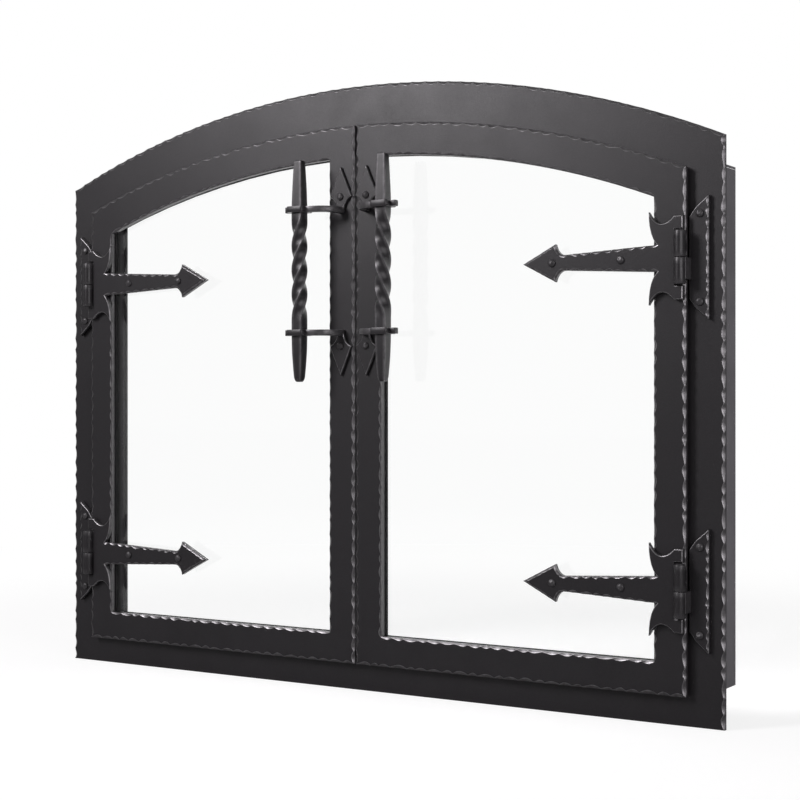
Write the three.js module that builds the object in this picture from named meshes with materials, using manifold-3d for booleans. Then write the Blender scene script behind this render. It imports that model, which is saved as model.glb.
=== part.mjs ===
// Arched fireplace door set: a flat steel faceplate with a sheet liner behind it, and a pair of glazed doors
// on strap hinges, each with a twisted square handle bar.
//
// Millimetres. X runs along the width, Y from front to back, Z up. The origin is the middle of the
// faceplate's bottom edge. The pieces of doors and hinges are drawn for the right side and mirrored for the
// left.

import * as THREE from 'three';
import { mergeVertices } from 'three/addons/utils/BufferGeometryUtils.js';
import Module from 'manifold-3d';

const wasm = await Module();
wasm.setup();

// ---------------------------------------------------------------------------- driving dimensions

const seatGap = 0.3; // between pieces that rest on or pass through one another
const cutMargin = 1; // how far a cut or a joined lap runs past the face it meets

// Faceplate and its arch. Every other arched edge is this curve, set lower by its "drop" and then drawn in
// toward the arch's centre by its "inset".
const faceWidth = 1109;
const faceSideHeight = 760;
const faceRise = 116; // of the arch above the side height
const faceThickness = 6.35;
const doorLap = 19; // of a closed door over the edge of the faceplate's opening
const archStep = 55; // longest straight stretch of a plain arched edge

// Edge finishes. A hammered edge has a bevel that goes wide and narrow with each blow, and each blow also
// sets the outline back by a dent. The slope is a bevel's depth for its width.
const edgeFinishes = {
  plain: { narrow: 0, slope: 0 },
  eased: { narrow: 0.8, slope: 0.5 },
  bevelled: { narrow: 2.2, slope: 0.5 },
  hammered: { narrow: 2, wide: 4.6, slope: 0.3, dent: 0.25, blowPitch: 32 },
  dressed: { narrow: 1.6, wide: 3.4, slope: 0.4, dent: 0.3, blowPitch: 24 },
};
const hairDepth = 0.1; // least depth of an edge that runs beside a bevelled one

// Doors
const doorSideMargin = 47.5; // from the faceplate's side to the door
const doorBottomMargin = 39.3;
const doorTopMargin = 59;
const doorMeetingGap = 3;
const doorStandOff = 4.5; // air between the faceplate and a closed door
const doorThickness = 9.5;
const meetingStile = 43;
const hingeStile = 45.5;
const bottomRail = 43;
const topRail = 46;

// Glazing: gasket, pane and an angle retainer stacked behind the door's window
const gasketThickness = 2;
const gasketReveal = 0.6; // how far the gasket stands back from the window's edge
const glassThickness = 3.2;
const glassLap = 12; // of the pane over the window's edge
const retainerThickness = 4.76;
const retainerWall = 3;
const retainerClearance = 1; // round the pane

// Liner that fills the masonry opening
const linerSideInset = 21.5; // from the faceplate's side
const linerBottom = 42;
const linerDrop = 39;
const linerDepth = 90.4;
const linerSheet = 3.175;
const linerReturn = 4.5; // of the lip folded inward along each side's back edge

// Strap hinges
const leafThickness = 7.94;
const barrelDiameter = 15.8;
const barrelHeight = 69;
const barrelSplit = 0.4; // between the two knuckles
const barrelEase = 0.9; // chamfer of a knuckle's rims
const pinDiameter = 8;
const pinHeadDiameter = 11.6;
const pinHeadHeight = 1.6;
const barrelSegments = 16;
const axisInset = 3.7; // of the hinge axis from the door's outer edge
const axisForward = 10.2; // of the hinge axis from the door's front
const hingeHeights = { upper: 603.6, lower: 176.3 };
const strapReach = { left: 237, right: 227 }; // from the axis to the tip, as each was drawn out
const hornReach = 44.3;
const hornHalfHeight = 60.3;
const hornCurl = 12; // how high above the strap's root the horn's back stays upright
const dipReach = 26.3;
const dipHalfHeight = 44.5;
const dipFlow = 9; // how far the curves on both sides of the dip stay level with it
const shoulderReach = 9;
const shoulderHalfHeight = 53.5;
const leafOverhang = 1.7; // of the fishtail past the axis
const notchClearance = 1;
const webLap = 2; // of the web between plate and knuckle, short of the axis
const rootReach = 33.9;
const rootHalfHeight = 17.5;
const neckHalfHeight = 10.4;
const spearLength = 48.5; // from the tip to the barbs
const spearNeck = 13; // from the barbs to the neck
const barbHalfHeight = 25.3;
const barbBend = { along: 0.55, out: 0.35 }; // where a barb's back bends, as shares of its length and height
const strapRivetReaches = { root: 83.3, tip: 182.8 };
const frameLeafInset = 2.2; // from the door's outer edge
const frameLeafWidth = 26.3;
const frameLeafHalfHeight = 56;
const frameLeafTipHalfHeight = 79.8;
const frameRivetHalfHeight = 56.5;
const frameRivetInset = 11.5; // from the frame leaf's outer edge
const tabThickness = 4;
const tabHeight = 28;
const tabClearance = 1; // to the door's edge
const tabLead = 1.5; // of the tab past the axis

// Rivets
const rivetHeadDiameter = 10.5;
const rivetHeadHeight = 3.8;
const rivetShankDiameter = 6.4;
const rivetSegments = 10;
const domeSteps = 2;

// Handles
const handleBar = 16.8; // side of the square bar
const handleTop = 766.5;
const handleBottom = 446.5;
const handleInset = 71.5; // from the middle of the door set
const handleForward = 37; // from the door's front to the bar's middle
const handleTopEnd = 12; // side of the bar at its ends
const handleBottomEnd = 10.8;
const handleCornerEase = 0.5;
const handleEndEase = 1.5;
const twistQuarters = 4;
const twistRun = 158; // length of bar that the twist takes
const twistStart = 691; // where it starts, below the upper eye
const twistEase = 0.12; // share of the run in which it builds up, and again dies away
const eyeHeights = { upper: 695.5, lower: 517.5 };
const eyeWall = 5.2;
const eyeHeight = 8.8;
const eyeCornerEase = 2;
const armWidth = 9;
const armBend = 24; // how far the arm's ends lead into its bend
const tailReach = 22.5; // from the bar's middle
const tailEase = 1;
const spadeThickness = 5;
const spadeHalfWidth = 19;
const spadeTipDistance = 62; // from the eye's level to the spade's tip
const spadeWidestDistance = 19; // from the eye's level to the spade's widest place
const spadeNeckHalfWidth = 5;
const spadeNeckShare = 0.7; // of the way up to the widest place, in which the neck stays narrow
const spadeInset = 22; // of the spade's middle line from the middle of the door set

// Magnetic catch behind the top rails
const catchSheet = 3;
const catchLength = 150;
const catchLift = 5; // of the bracket's flange above the faceplate's opening
const catchFlange = 22;
const magnetLength = 36;
const magnetHeight = 12.5;
const magnetDepth = 12;
const magnetEndMargin = 7; // to the end of the bracket
const magnetRise = 5.5; // above the edge of the door's window

// ---------------------------------------------------------------------------- derived places

const faceApex = faceSideHeight + faceRise;
const archRadius = ((faceWidth / 2) ** 2 + faceRise ** 2) / (2 * faceRise);
const faceBack = faceThickness / 2;
const faceFront = -faceBack;
const doorBack = faceFront - doorStandOff;
const doorFront = doorBack - doorThickness;
const doorOuter = faceWidth / 2 - doorSideMargin;
const doorInner = doorMeetingGap / 2;
const gasketFront = doorBack + seatGap;
const glassFront = gasketFront + gasketThickness + seatGap;
const retainerFront = glassFront + glassThickness + seatGap;
const retainerBack = retainerFront + retainerThickness;
const leafBack = doorFront - seatGap;
const leafFront = leafBack - leafThickness;
const axisX = doorOuter - axisInset;
const axisY = doorFront - axisForward;
const handleY = doorFront - handleForward;

// The door's outline, its window and the faceplate's opening share one description
const doorOutline = {
  left: doorInner,
  right: doorOuter,
  bottom: doorBottomMargin,
  drop: doorTopMargin,
  inset: 0,
};
const windowOutline = {
  left: doorInner + meetingStile,
  right: doorOuter - hingeStile,
  bottom: doorBottomMargin + bottomRail,
  drop: doorTopMargin,
  inset: topRail,
};
const faceOutline = { left: -faceWidth / 2, right: faceWidth / 2, bottom: 0, drop: 0, inset: 0 };
const faceOpening = grown({ ...doorOutline, left: -doorOuter }, -doorLap);

// ---------------------------------------------------------------------------- materials

const finishes = {
  blackSteel: { color: 0x38373a, roughness: 0.55, metalness: 0.85 },
  forgedSteel: { color: 0x3b3a3d, roughness: 0.5, metalness: 0.9 },
  linerSteel: { color: 0x5c5c5e, roughness: 0.6, metalness: 0.7 },
  glass: { color: 0xeef2f2, roughness: 0.03, metalness: 0, transparent: true, opacity: 0.18 },
  gasket: { color: 0x0c0c0d, roughness: 0.95, metalness: 0 },
  magnet: { color: 0x242426, roughness: 0.7, metalness: 0.3 },
};

// ---------------------------------------------------------------------------- outlines

function archHeight(x, { drop, inset }) {
  return faceApex - drop - archRadius + Math.sqrt((archRadius - inset) ** 2 - x ** 2);
}

// The same arched outline, larger all round by a margin (or smaller, where the margin is negative)
function grown(outline, margin) {
  return {
    left: outline.left - margin,
    right: outline.right + margin,
    bottom: outline.bottom - margin,
    drop: outline.drop,
    inset: outline.inset - margin,
  };
}

// Vertices of one side of an outline, from its start up to its end, which belongs to the next side. Each holds
// its bevel's width and depth and its dent. A side without blows has as many straight stretches as it asks for.
function sideVertices(pointAt, length, stretches, finish) {
  const { narrow, wide, slope, dent, blowPitch } = edgeFinishes[finish];
  const steps = blowPitch ? 2 * Math.max(1, Math.round(length / blowPitch)) : stretches;
  const vertices = [];
  for (let step = 0; step < steps; step += 1) {
    const struck = blowPitch && step % 2 === 1;
    const [x, z] = pointAt(step / steps);
    const bevel = struck ? wide : narrow;
    vertices.push({ x, z, bevel, depth: Math.max(bevel * slope, hairDepth), dent: struck ? dent : 0 });
  }
  return vertices;
}

// Arched outline, anticlockwise seen from the front, with a finish for each side
function archedRing(outline, finish) {
  const { left, right, bottom, inset } = outline;
  const radius = archRadius - inset;
  const rightTop = archHeight(right, outline);
  const leftTop = archHeight(left, outline);
  const startAngle = Math.asin(right / radius);
  const endAngle = Math.asin(left / radius);
  const archLength = radius * (startAngle - endAngle);
  const onBottom = (t) => [left + (right - left) * t, bottom];
  const onRight = (t) => [right, bottom + (rightTop - bottom) * t];
  const onArch = (t) => {
    const x = radius * Math.sin(startAngle + (endAngle - startAngle) * t);
    return [x, archHeight(x, outline)];
  };
  const onLeft = (t) => [left, leftTop + (bottom - leftTop) * t];
  return [
    sideVertices(onBottom, right - left, 1, finish.bottom),
    sideVertices(onRight, rightTop - bottom, 1, finish.right),
    sideVertices(onArch, archLength, Math.ceil(archLength / archStep), finish.top),
    sideVertices(onLeft, leftTop - bottom, 1, finish.left),
  ];
}

const allPlain = { bottom: 'plain', right: 'plain', top: 'plain', left: 'plain' };
const allHammered = { bottom: 'hammered', right: 'hammered', top: 'hammered', left: 'hammered' };
const bottomPlain = { ...allHammered, bottom: 'plain' };

// Polygon whose sides each have a finish of their own, from corners given as [x, z, finish of the side that
// starts there]
function polygonRing(corners) {
  return corners.map(([x, z, finish], index) => {
    const [nextX, nextZ] = corners[(index + 1) % corners.length];
    const length = Math.hypot(nextX - x, nextZ - z);
    const pointAt = (t) => [x + (nextX - x) * t, z + (nextZ - z) * t];
    return sideVertices(pointAt, length, 1, finish);
  });
}

// The ring after each side has stepped inward by its own amount, mitred where two sides meet. "inward" is -1
// for a hole, where the material lies outside the ring.
function steppedIn(sides, amountOf, inward) {
  const ring = sides.flat();
  const corners = new Map(sides.map((side, index) => [side[0], sides.at(index - 1)[0]]));
  return ring.map((vertex, index) => {
    const normalBefore = inwardNormal(ring.at(index - 1), vertex);
    const normalAfter = inwardNormal(vertex, ring[(index + 1) % ring.length]);
    const own = amountOf(vertex) * inward;
    const previous = corners.has(vertex) ? amountOf(corners.get(vertex)) * inward : own;
    const cross = normalBefore.x * normalAfter.z - normalBefore.z * normalAfter.x;
    if (Math.abs(cross) < 0.2) {
      return { x: vertex.x + normalAfter.x * own, z: vertex.z + normalAfter.z * own };
    }
    return {
      x: vertex.x + (previous * normalAfter.z - own * normalBefore.z) / cross,
      z: vertex.z + (own * normalBefore.x - previous * normalAfter.x) / cross,
    };
  });
}

function inwardNormal(from, to) {
  const length = Math.hypot(to.x - from.x, to.z - from.z);
  return { x: -(to.z - from.z) / length, z: (to.x - from.x) / length };
}

// ---------------------------------------------------------------------------- solids

// Closed solid through a stack of layers. Each layer is a list of rings of THREE.Vector3, the outer one
// anticlockwise seen from outside the first layer, holes the same way. "flatten" gives a layer's plane.
function loft(layers, flatten) {
  const positions = [];
  const indices = [];
  const rings = layers[0].map((ring) => ring.length);
  const perLayer = rings.reduce((sum, count) => sum + count, 0);
  for (const point of layers.flat(2)) positions.push(point.x, point.y, point.z);
  for (let layer = 0; layer + 1 < layers.length; layer += 1) {
    let start = layer * perLayer;
    rings.forEach((count, ring) => {
      for (let step = 0; step < count; step += 1) {
        const near = start + step;
        const next = start + ((step + 1) % count);
        const [first, second] = ring === 0 ? [near, next] : [next, near];
        indices.push(first, second + perLayer, second);
        indices.push(first, first + perLayer, second + perLayer);
      }
      start += count;
    });
  }
  const capOf = (layer) => {
    const [outer, ...holes] = layers[layer].map((ring) => ring.map(flatten));
    return THREE.ShapeUtils.triangulateShape(outer, holes);
  };
  const last = (layers.length - 1) * perLayer;
  for (const [a, b, c] of capOf(0)) indices.push(a, b, c);
  for (const [a, b, c] of capOf(layers.length - 1)) indices.push(last + a, last + c, last + b);
  const geometry = new THREE.BufferGeometry();
  geometry.setAttribute('position', new THREE.Float32BufferAttribute(positions, 3));
  geometry.setIndex(indices);
  return geometry;
}

// Plate between two depths whose front edges are bevelled as its rings say
function bevelledPlate(outer, holes, front, back) {
  const rings = [outer, ...holes];
  const placed = (ringIndex, amountOf, depthOf) => {
    const sides = rings[ringIndex];
    const inward = ringIndex === 0 ? 1 : -1;
    const vertices = sides.flat();
    return steppedIn(sides, amountOf, inward).map(({ x, z }, index) => (
      new THREE.Vector3(x, depthOf(vertices[index]), z)
    ));
  };
  const bevelled = rings.some((sides) => sides.flat().some((vertex) => vertex.bevel > 0));
  const layerOf = (amountOf, depthOf) => rings.map((_, index) => placed(index, amountOf, depthOf));
  const dentOf = (vertex) => vertex.dent;
  const layers = [layerOf(dentOf, () => back)];
  if (bevelled) {
    layers.unshift(layerOf(dentOf, (vertex) => front + vertex.depth));
    layers.unshift(layerOf((vertex) => vertex.dent + vertex.bevel, () => front));
  } else {
    layers.unshift(layerOf(dentOf, () => front));
  }
  return loft(layers, (point) => new THREE.Vector2(point.x, point.z));
}

function toSolid(geometry) {
  const bare = geometry.clone();
  bare.deleteAttribute('normal');
  bare.deleteAttribute('uv');
  const merged = mergeVertices(bare, 1e-4);
  return new wasm.Manifold(new wasm.Mesh({
    numProp: 3,
    vertProperties: merged.attributes.position.array,
    triVerts: Uint32Array.from(merged.index.array),
  }));
}

function toGeometry(solid) {
  const mesh = solid.getMesh();
  const geometry = new THREE.BufferGeometry();
  geometry.setAttribute('position', new THREE.Float32BufferAttribute(mesh.vertProperties, 3));
  geometry.setIndex(Array.from(mesh.triVerts));
  return geometry;
}

function joined(first, ...others) {
  return toGeometry(others.reduce((solid, other) => solid.add(toSolid(other)), toSolid(first)));
}

function cut(first, ...others) {
  return toGeometry(others.reduce((solid, other) => solid.subtract(toSolid(other)), toSolid(first)));
}

// The mirror image across the plane through the origin that faces an axis, with its faces turned to point out
// again
function mirrored(geometry, axis) {
  const copy = geometry.clone();
  copy.scale(axis === 'x' ? -1 : 1, 1, axis === 'z' ? -1 : 1);
  const indices = Array.from(copy.index.array);
  for (let start = 0; start < indices.length; start += 3) {
    [indices[start], indices[start + 1]] = [indices[start + 1], indices[start]];
  }
  copy.setIndex(indices);
  return copy;
}

function box(x0, x1, y0, y1, z0, z1) {
  const geometry = new THREE.BoxGeometry(x1 - x0, y1 - y0, z1 - z0);
  return geometry.translate((x0 + x1) / 2, (y0 + y1) / 2, (z0 + z1) / 2);
}

// Round about a vertical axis through the origin, from a closed profile of [radius, height]
function turned(profile, segments) {
  const points = profile.map(([radius, height]) => new THREE.Vector2(radius, height));
  return new THREE.LatheGeometry(points, segments).rotateX(Math.PI / 2);
}

// ---------------------------------------------------------------------------- faceplate and liner

function faceplate() {
  return bevelledPlate(
    archedRing(faceOutline, bottomPlain), [archedRing(faceOpening, allPlain)], faceFront, faceBack,
  );
}

const linerFront = faceBack + seatGap;
const linerBack = faceBack + linerDepth;
const linerOuter = faceWidth / 2 - linerSideInset;
const linerTop = { drop: linerDrop, inset: 0 };
const linerUnderside = { drop: linerDrop, inset: linerSheet };

// Side sheet with a lip folded inward along its back edge, above the sill
function linerSide() {
  const inner = linerOuter - linerSheet;
  const top = archHeight(linerOuter, linerUnderside) - seatGap;
  const sheet = box(inner, linerOuter, linerFront, linerBack, linerBottom, top);
  const lipBottom = linerBottom + linerSheet + seatGap;
  const lip = box(inner - linerReturn, linerOuter, linerBack - linerSheet, linerBack, lipBottom, top);
  return joined(sheet, lip);
}

function linerSill() {
  const halfWidth = linerOuter - linerSheet - seatGap;
  return box(-halfWidth, halfWidth, linerFront, linerBack, linerBottom, linerBottom + linerSheet);
}

// Arched sheet, drawn as the band between its two arches
function linerArch() {
  const steps = Math.ceil(2 * linerOuter / archStep);
  const arch = (outline) => {
    const points = [];
    for (let step = 0; step <= steps; step += 1) {
      const x = linerOuter - 2 * linerOuter * step / steps;
      points.push({ x, z: archHeight(x, outline), bevel: 0, dent: 0 });
    }
    return points;
  };
  return bevelledPlate([[...arch(linerTop), ...arch(linerUnderside).reverse()]], [], linerFront, linerBack);
}

// ---------------------------------------------------------------------------- magnetic catch

const catchFloor = archHeight(0, windowOutline) + magnetRise;
const catchLegFront = retainerBack + seatGap + magnetDepth + seatGap;

// Folded strip: a flange on the faceplate's back, a step back over the retainers, and a leg for the magnets
function catchBracket() {
  const flangeBottom = archHeight(0, faceOpening) + catchLift;
  const legBack = catchLegFront + catchSheet;
  const half = catchLength / 2;
  const flangeTop = flangeBottom + catchFlange;
  const flange = box(-half, half, linerFront, linerFront + catchSheet, flangeBottom, flangeTop);
  const step = box(-half, half, linerFront, legBack, flangeBottom - catchSheet, flangeBottom);
  const leg = box(-half, half, catchLegFront, legBack, catchFloor, flangeBottom);
  return joined(flange, step, leg);
}

function catchMagnet() {
  const front = retainerBack + seatGap;
  const outer = catchLength / 2 - magnetEndMargin;
  return box(outer - magnetLength, outer, front, front + magnetDepth, catchFloor, catchFloor + magnetHeight);
}

// ---------------------------------------------------------------------------- hinges

const knuckleTop = barrelHeight / 2;
const barrelRadius = barrelDiameter / 2;
const boreRadius = pinDiameter / 2 + seatGap;

// One knuckle of the barrel, hollow for the pin, between two heights above the hinge's middle
function knuckle(bottom, top) {
  const rim = barrelRadius - barrelEase;
  const profile = [
    [boreRadius, bottom], [rim, bottom], [barrelRadius, bottom + barrelEase],
    [barrelRadius, top - barrelEase], [rim, top], [boreRadius, top], [boreRadius, bottom],
  ];
  return turned(profile, barrelSegments).translate(axisX, axisY, 0);
}

function bore(radius, bottom, top) {
  const geometry = new THREE.CylinderGeometry(radius, radius, top - bottom, barrelSegments);
  return geometry.rotateX(Math.PI / 2).translate(axisX, axisY, (bottom + top) / 2);
}

function rivetHole(x, z, front, back) {
  const radius = rivetShankDiameter / 2 + seatGap;
  const geometry = new THREE.CylinderGeometry(radius, radius, back - front + 2 * cutMargin, rivetSegments);
  return geometry.translate(x, (front + back) / 2, z);
}

// Half of the strap leaf's outline, above its middle line, from the fishtail's edge to the spear's tip, as
// [reach from the axis, height, finish of the side that starts there]
function strapHalfOutline(reach) {
  const horn = new THREE.QuadraticBezierCurve(
    new THREE.Vector2(hornReach, hornHalfHeight),
    new THREE.Vector2(hornReach, rootHalfHeight + hornCurl),
    new THREE.Vector2(rootReach, rootHalfHeight),
  );
  const scoop = new THREE.QuadraticBezierCurve(
    new THREE.Vector2(dipReach, dipHalfHeight),
    new THREE.Vector2(dipReach + dipFlow, dipHalfHeight),
    new THREE.Vector2(hornReach, hornHalfHeight),
  );
  const slope = new THREE.QuadraticBezierCurve(
    new THREE.Vector2(shoulderReach, shoulderHalfHeight),
    new THREE.Vector2(dipReach - dipFlow, dipHalfHeight),
    new THREE.Vector2(dipReach, dipHalfHeight),
  );
  const eased = (curve, divisions) => (
    curve.getPoints(divisions).slice(0, -1).map(({ x, y }) => [x, y, 'eased'])
  );
  const barb = reach - spearLength;
  const neck = barb - spearNeck;
  const bendReach = neck + spearNeck * barbBend.along;
  const bendHalfHeight = neckHalfHeight + (barbHalfHeight - neckHalfHeight) * barbBend.out;
  return [
    [-leafOverhang, shoulderHalfHeight, 'eased'],
    ...eased(slope, 3),
    ...eased(scoop, 4),
    ...eased(horn, 5),
    [rootReach, rootHalfHeight, 'dressed'],
    [neck, neckHalfHeight, 'bevelled'],
    [bendReach, bendHalfHeight, 'bevelled'],
    [barb, barbHalfHeight, 'bevelled'],
  ];
}

// Door side of a hinge: fishtail plate, strap and spear in one, with the upper knuckle on its edge
function strapLeaf(reach) {
  const half = strapHalfOutline(reach);
  const tip = [reach, 0, 'bevelled'];
  // Below the middle line the outline runs back, so each side takes the finish of its other end
  const lower = half.map(([x, z], index) => [x, -z, index === 0 ? 'eased' : half[index - 1][2]]).reverse();
  const corners = [...half, tip, ...lower].map(([x, z, finish]) => [axisX - x, z, finish]);
  const blank = bevelledPlate(polygonRing(corners), [], leafFront, leafBack);
  const notchRight = axisX + leafOverhang + cutMargin;
  const notchLeft = axisX - barrelRadius - notchClearance;
  const notchTop = knuckleTop + pinHeadHeight + seatGap + notchClearance;
  const notchBottom = -knuckleTop - notchClearance;
  const notch = box(
    notchLeft, notchRight, leafFront - cutMargin, leafBack + cutMargin, notchBottom, notchTop,
  );
  const holes = Object.values(strapRivetReaches).map((rivetReach) => (
    rivetHole(axisX - rivetReach, 0, leafFront, leafBack)
  ));
  const plate = cut(blank, notch, ...holes);
  const web = box(
    notchLeft - cutMargin, axisX - webLap, leafFront, leafBack - notchClearance, barrelSplit / 2, knuckleTop,
  );
  const upper = knuckle(barrelSplit / 2, knuckleTop);
  return cut(joined(plate, web, upper), bore(boreRadius, 0, knuckleTop + cutMargin));
}

const frameLeafInner = doorOuter + frameLeafInset;
const frameLeafOuter = frameLeafInner + frameLeafWidth;
const frameLeafBack = faceFront - seatGap;
const frameLeafFront = frameLeafBack - leafThickness;

// Frame side of a hinge: pointed plate with a tab that reaches forward to the lower knuckle
function frameLeaf() {
  const corners = [
    [frameLeafOuter, -frameLeafTipHalfHeight, 'hammered'],
    [frameLeafOuter, frameLeafTipHalfHeight, 'eased'],
    [frameLeafInner, frameLeafHalfHeight, 'eased'],
    [frameLeafInner, -frameLeafHalfHeight, 'eased'],
  ];
  const holes = [-1, 1].map((end) => (
    rivetHole(frameLeafOuter - frameRivetInset, end * frameRivetHalfHeight, frameLeafFront, frameLeafBack)
  ));
  const plate = cut(bevelledPlate(polygonRing(corners), [], frameLeafFront, frameLeafBack), ...holes);
  const tabLeft = doorOuter + tabClearance;
  const tabTop = -barrelSplit / 2;
  const tab = box(tabLeft, tabLeft + tabThickness, axisY - tabLead, frameLeafBack, tabTop - tabHeight, tabTop);
  return cut(joined(plate, tab, knuckle(-knuckleTop, tabTop)), bore(boreRadius, -knuckleTop - cutMargin, 0));
}

// Profile of a shank with a domed head, the head's seat at height 0
function headedProfile(shank, shankLength, head, headHeight) {
  const profile = [[0, -shankLength], [shank, -shankLength], [shank, 0], [head, 0]];
  for (let step = 1; step <= domeSteps; step += 1) {
    const angle = (Math.PI / 2) * (step / domeSteps);
    profile.push([step === domeSteps ? 0 : head * Math.cos(angle), headHeight * Math.sin(angle)]);
  }
  return profile;
}

// Pin with a low domed head that rests on the upper knuckle
function hingePin() {
  const seat = knuckleTop + seatGap;
  const profile = headedProfile(pinDiameter / 2, knuckleTop + seat, pinHeadDiameter / 2, pinHeadHeight);
  return turned(profile, barrelSegments).translate(axisX, axisY, seat);
}

// Domed rivet with its shank, its head toward the front
function rivet(x, z, seat, shankLength) {
  const profile = headedProfile(rivetShankDiameter / 2, shankLength, rivetHeadDiameter / 2, rivetHeadHeight);
  return turned(profile, rivetSegments).rotateX(Math.PI / 2).translate(x, seat, z);
}

// ---------------------------------------------------------------------------- doors

function doorFrame() {
  return bevelledPlate(
    archedRing(doorOutline, allHammered), [archedRing(windowOutline, allHammered)], doorFront, doorBack,
  );
}

function plainRing(outerMargin, innerMargin, front, back) {
  const outer = archedRing(grown(windowOutline, outerMargin), allPlain);
  const inner = archedRing(grown(windowOutline, innerMargin), allPlain);
  return bevelledPlate(outer, [inner], front, back);
}

function gasket() {
  return plainRing(glassLap, gasketReveal, gasketFront, gasketFront + gasketThickness);
}

function glassPane() {
  const outline = archedRing(grown(windowOutline, glassLap), allPlain);
  return bevelledPlate(outline, [], glassFront, glassFront + glassThickness);
}

// Angle frame: a wall round the pane's edge and a flange behind it
function retainer() {
  const wallInner = glassLap + retainerClearance;
  const wallOuter = wallInner + retainerWall;
  const wall = plainRing(wallOuter, wallInner, gasketFront, retainerFront + cutMargin);
  return joined(plainRing(wallOuter, 0, retainerFront, retainerBack), wall);
}

// ---------------------------------------------------------------------------- handles

// Angle of the bar about its own axis at a height, easing in and out of the twist
function twistAt(z) {
  const progress = THREE.MathUtils.clamp((twistStart - z) / twistRun, 0, 1);
  const start = Math.max(0, twistEase - progress);
  const end = Math.max(0, progress - 1 + twistEase);
  const eased = progress - twistEase / 2 + (start ** 2 - end ** 2) / (2 * twistEase);
  return (eased / (1 - twistEase)) * twistQuarters * (Math.PI / 2);
}

// Side of the bar at a height: full between the eyes and drawn down towards both ends
function barSideAt(z) {
  const above = Math.max(0, (z - eyeHeights.upper) / (handleTop - eyeHeights.upper));
  const below = Math.max(0, (eyeHeights.lower - z) / (eyeHeights.lower - handleBottom));
  return handleBar - (handleBar - handleTopEnd) * above ** 1.5 - (handleBar - handleBottomEnd) * below ** 2;
}

// Heights from just past the first one down to the second
function heightsBetween(from, to, steps) {
  return Array.from({ length: steps }, (_, index) => from + (to - from) * (index + 1) / steps);
}

function handle() {
  const twistEnd = twistStart - twistRun;
  const shoulder = handleTop - handleEndEase;
  const heights = [
    handleTop,
    shoulder,
    ...heightsBetween(shoulder, twistStart, 4),
    ...heightsBetween(twistStart, twistEnd, twistQuarters * 6),
    ...heightsBetween(twistEnd, handleBottom + handleEndEase, 5),
    handleBottom,
  ];
  const layers = heights.map((z) => {
    const atEnd = z === handleTop || z === handleBottom;
    const half = barSideAt(z) / 2 - (atEnd ? handleEndEase : 0);
    const inner = half - handleCornerEase;
    const corners = [
      [inner, -half], [half, -inner], [half, inner], [inner, half],
      [-inner, half], [-half, inner], [-half, -inner], [-inner, -half],
    ];
    const angle = twistAt(z);
    return [corners.map(([u, v]) => new THREE.Vector3(
      handleInset + u * Math.cos(angle) - v * Math.sin(angle),
      handleY + u * Math.sin(angle) + v * Math.cos(angle),
      z,
    ))];
  });
  return loft(layers, (point) => new THREE.Vector2(point.x, point.y));
}

// Flat shape in plan, given a thickness in height
function planPlate(outline, hole, bottom, height) {
  const shape = new THREE.Shape(outline);
  if (hole) shape.holes.push(new THREE.Path(hole));
  return new THREE.ExtrudeGeometry(shape, { depth: height, bevelEnabled: false }).translate(0, 0, bottom);
}

function easedRectangle(x0, x1, y0, y1, ease) {
  return [
    [x1 - ease, y0], [x1, y0 + ease], [x1, y1 - ease], [x1 - ease, y1],
    [x0 + ease, y1], [x0, y1 - ease], [x0, y0 + ease], [x0 + ease, y0],
  ].map(([x, y]) => new THREE.Vector2(x, y));
}

// Square about the handle bar's middle
function easedSquare(half, ease) {
  return easedRectangle(handleInset - half, handleInset + half, handleY - half, handleY + half, ease);
}

// Outline of a bar that follows a curve in plan, from one half width to another
function ribbon(curve, divisions, startHalf, endHalf) {
  const near = [];
  const far = [];
  for (let step = 0; step <= divisions; step += 1) {
    const t = step / divisions;
    const point = curve.getPoint(t);
    const along = curve.getTangent(t);
    const aside = new THREE.Vector2(-along.y, along.x).multiplyScalar(startHalf + (endHalf - startHalf) * t);
    near.push(point.clone().sub(aside));
    far.unshift(point.clone().add(aside));
  }
  return [...near, ...far];
}

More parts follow.
